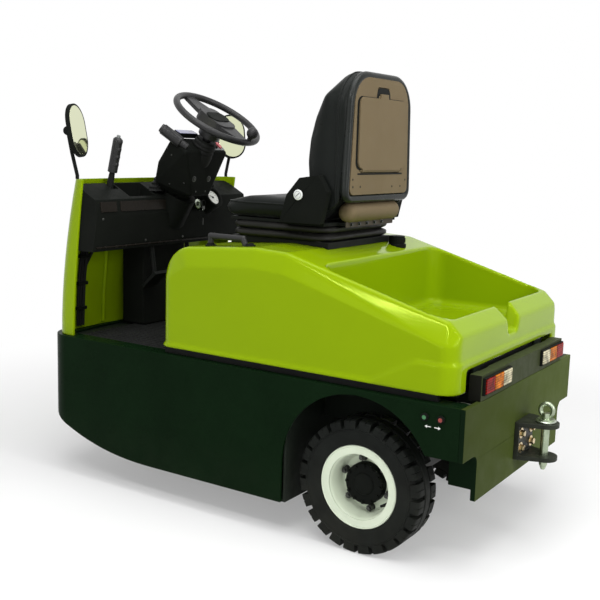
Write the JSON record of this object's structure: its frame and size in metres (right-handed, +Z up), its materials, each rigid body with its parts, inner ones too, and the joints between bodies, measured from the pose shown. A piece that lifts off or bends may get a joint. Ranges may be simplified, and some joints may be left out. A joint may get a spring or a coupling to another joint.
{
  "type": "electric tow tractor",
  "caption": "Electric tow tractor with a steered front wheel, a seat on a tilting hood, an open footwell behind a curved cowl, a stowage tub and a pin hitch at the rear.",
  "frame": {"origin": "on the ground under the middle of the outline box", "axes": "+X forward, +Y to the driver's left, +Z up"},
  "size_m": [1.67, 0.9434, 1.354],
  "materials": {
    "dark_paint": "satin",
    "frame_paint": "satin",
    "olive_paint": "satin",
    "black_paint": "satin",
    "cast": "matte",
    "battery_case": "matte",
    "rubber": "matte",
    "tyre": "matte",
    "black_plastic": "satin",
    "lens_red": "gloss",
    "lens_amber": "gloss",
    "lens_clear": "gloss",
    "steel": "satin",
    "button_green": "gloss",
    "button_red": "gloss",
    "lime": "gloss",
    "dial": "gloss",
    "mirror": "polished",
    "vinyl": "satin",
    "taupe": "satin",
    "cream": "gloss"
  },
  "bodies": {
    "chassis": {"chassis_skirt": "dark_paint", "chassis_frame": "frame_paint", "floor_deck": "frame_paint", "floor_mat": "rubber", "rear_plate": "olive_paint", "rear_axle": "cast", "battery": "battery_case", "hood_seal": "rubber", "lamp_bar": "black_paint", "tail_lamps": "black_plastic", "tail_lens_red": "lens_red", "tail_lens_amber": "lens_amber", "tail_lens_clear": "lens_clear", "hitch_bracket": "olive_paint", "inch_button_green": "button_green", "inch_button_red": "button_red", "cowl": "lime", "dash": "black_plastic", "gauge_dial": "dial", "key_switch": "steel", "column_post": "black_plastic", "column_tube": "black_paint", "column_cover": "black_plastic", "direction_lever": "black_plastic", "hand_brake": "black_plastic", "pedals": "black_paint", "mirror_arms": "black_paint", "mirror_shells": "black_plastic", "mirror_glass": "mirror"},
    "hood": {"hood": "lime", "hood_hinges": "frame_paint", "grab_handle": "black_plastic", "deck_cap": "black_plastic", "seat_base": "black_paint", "seat_bellows": "rubber", "seat_pan": "black_paint", "seat_cushion": "vinyl", "seat_backrest": "vinyl", "seat_recliners": "black_plastic", "seat_back_panel": "taupe"},
    "document_lid": {"document_lid": "taupe"},
    "tow_pin": {"tow_pin": "steel"},
    "steering_wheel": {"steering_wheel": "black_plastic"},
    "front_fork": {"front_fork": "frame_paint"},
    "front_wheel": {"front_wheel": "cream", "front_tyre": "tyre"},
    "rear_wheel_left": {"rear_wheel_left": "cream", "rear_tyre_left": "tyre"},
    "rear_wheel_right": {"rear_wheel_right": "cream", "rear_tyre_right": "tyre"}
  },
  "joints": [
    {"name": "rear_left_spin", "type": "hinge", "parent": "chassis", "child": "rear_wheel_left", "pos_m": [-0.405, 0.348, 0.1925], "axis": [0, 1, 0], "continuous": true},
    {"name": "rear_right_spin", "type": "hinge", "parent": "chassis", "child": "rear_wheel_right", "pos_m": [-0.405, -0.348, 0.1925], "axis": [0, 1, 0], "continuous": true},
    {"name": "front_steer", "type": "hinge", "parent": "chassis", "child": "front_fork", "pos_m": [0.56, 0, 0.1925], "axis": [0, 0, 1], "range_deg": [-80, 80]},
    {"name": "front_spin", "type": "hinge", "parent": "front_fork", "child": "front_wheel", "pos_m": [0.56, 0, 0.1925], "axis": [0, 1, 0], "continuous": true},
    {"name": "steering_turn", "type": "hinge", "parent": "chassis", "child": "steering_wheel", "pos_m": [0.422, 0, 1.212], "axis": [-0.5195, 0, 0.8545], "range_deg": [-640, 640]},
    {"name": "hood_tilt", "type": "hinge", "parent": "chassis", "child": "hood", "pos_m": [-0.692, 0, 0.53], "axis": [0, -1, 0], "range_deg": [0, 45]},
    {"name": "document_lid_open", "type": "hinge", "parent": "hood", "child": "document_lid", "pos_m": [-0.221, 0, 1.0605], "axis": [0, -1, 0], "range_deg": [0, 90]},
    {"name": "tow_pin_lift", "type": "slide", "parent": "chassis", "child": "tow_pin", "axis": [0, 0, 1], "range_m": [0, 0.2]}
  ],
  "couplings": [
    {"joint": "steering_turn", "follows": "front_steer", "ratio": 8}
  ]
}
